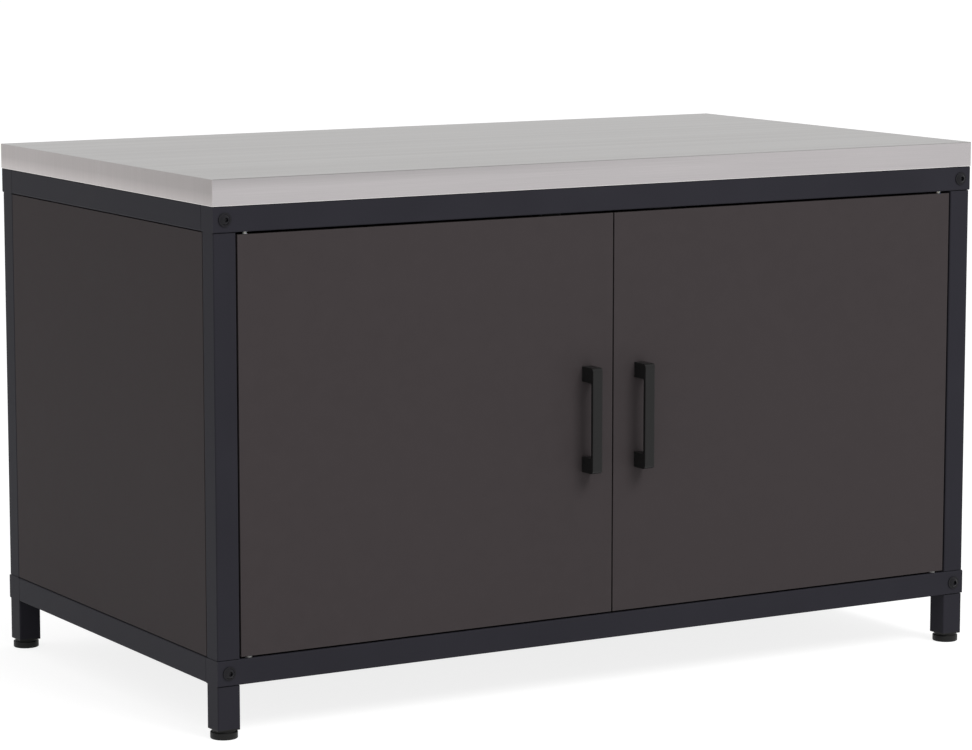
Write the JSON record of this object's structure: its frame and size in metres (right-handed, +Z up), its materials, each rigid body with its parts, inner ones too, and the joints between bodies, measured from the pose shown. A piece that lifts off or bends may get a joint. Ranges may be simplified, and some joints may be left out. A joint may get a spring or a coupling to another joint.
{
  "type": "kitchen storage cabinet",
  "caption": "Low steel-framed kitchen cabinet with a folded metal worktop, inset board panels, two pivot-hung doors with bow handles, a shelf and levelling feet.",
  "frame": {"origin": "on the floor, under the middle of the bounding box", "axes": "+X along the width to the right as seen from the front, +Y from the doors to the back, +Z up"},
  "size_m": [1.503, 0.8786, 0.9055],
  "materials": {
    "worktop_steel": "brushed, satin",
    "core_board": "bare particle board",
    "frame_coat": "fine satin powder coat",
    "board": "melamine faced, satin",
    "edging": "satin plastic edging",
    "zinc": "zinc plated",
    "bolt_black": "black oxide",
    "handle_black": "satin black coat",
    "foot_plastic": "moulded",
    "nylon": "moulded",
    "acetal": "moulded"
  },
  "bodies": {
    "cabinet": {"worktop_skin": "worktop_steel", "worktop_core": "core_board", "front_top_rail": "frame_coat", "front_bottom_rail": "frame_coat", "back_top_rail": "frame_coat", "back_bottom_rail": "frame_coat", "left_top_side_rail": "frame_coat", "left_bottom_side_rail": "frame_coat", "right_top_side_rail": "frame_coat", "right_bottom_side_rail": "frame_coat", "front_left_post": "frame_coat", "front_right_post": "frame_coat", "back_left_post": "frame_coat", "back_right_post": "frame_coat", "front_left_leg": "frame_coat", "front_right_leg": "frame_coat", "back_left_leg": "frame_coat", "back_right_leg": "frame_coat", "top_cross_bar": "frame_coat", "bottom_cross_bar": "frame_coat", "rail_end_caps": "frame_coat", "side_rail_end_plates": "zinc", "corner_bolts": "bolt_black", "leg_plugs": "foot_plastic", "left_side_panel": "board", "right_side_panel": "board", "back_panel": "board", "floor_panel": "board", "shelf": "board", "front_shelf_rail": "frame_coat", "back_shelf_rail": "frame_coat", "worktop_brackets": "zinc", "floor_brackets": "zinc", "panel_brackets": "zinc", "worktop_screws": "zinc", "floor_screws": "zinc", "panel_screws": "zinc", "lower_pivot_bushes": "acetal", "magnetic_catches": "foot_plastic", "catch_screws": "zinc"},
    "left_door_leaf": {"left_door": "board", "left_door_edging": "edging", "left_handle": "handle_black", "left_handle_screws": "zinc", "left_upper_pivot_pin": "nylon", "left_lower_pivot_pin": "zinc", "left_strike_plate": "zinc"},
    "right_door_leaf": {"right_door": "board", "right_door_edging": "edging", "right_handle": "handle_black", "right_handle_screws": "zinc", "right_upper_pivot_pin": "nylon", "right_lower_pivot_pin": "zinc", "right_strike_plate": "zinc"},
    "front_left_foot": {"front_left_foot": "foot_plastic"},
    "front_right_foot": {"front_right_foot": "foot_plastic"},
    "back_left_foot": {"back_left_foot": "foot_plastic"},
    "back_right_foot": {"back_right_foot": "foot_plastic"}
  },
  "joints": [
    {"name": "left_door_hinge", "type": "hinge", "parent": "cabinet", "child": "left_door_leaf", "pos_m": [-0.6885, -0.3953, 0.1335], "axis": [0, 0, -1], "range_deg": [0, 110]},
    {"name": "right_door_hinge", "type": "hinge", "parent": "cabinet", "child": "right_door_leaf", "pos_m": [0.6885, -0.3953, 0.1335], "axis": [0, 0, 1], "range_deg": [0, 110]},
    {"name": "front_left_foot_screw", "type": "slide", "parent": "cabinet", "child": "front_left_foot", "axis": [0, 0, -1], "range_m": [0, 0.012]},
    {"name": "front_right_foot_screw", "type": "slide", "parent": "cabinet", "child": "front_right_foot", "axis": [0, 0, -1], "range_m": [0, 0.012]},
    {"name": "back_left_foot_screw", "type": "slide", "parent": "cabinet", "child": "back_left_foot", "axis": [0, 0, -1], "range_m": [0, 0.012]},
    {"name": "back_right_foot_screw", "type": "slide", "parent": "cabinet", "child": "back_right_foot", "axis": [0, 0, -1], "range_m": [0, 0.012]}
  ]
}
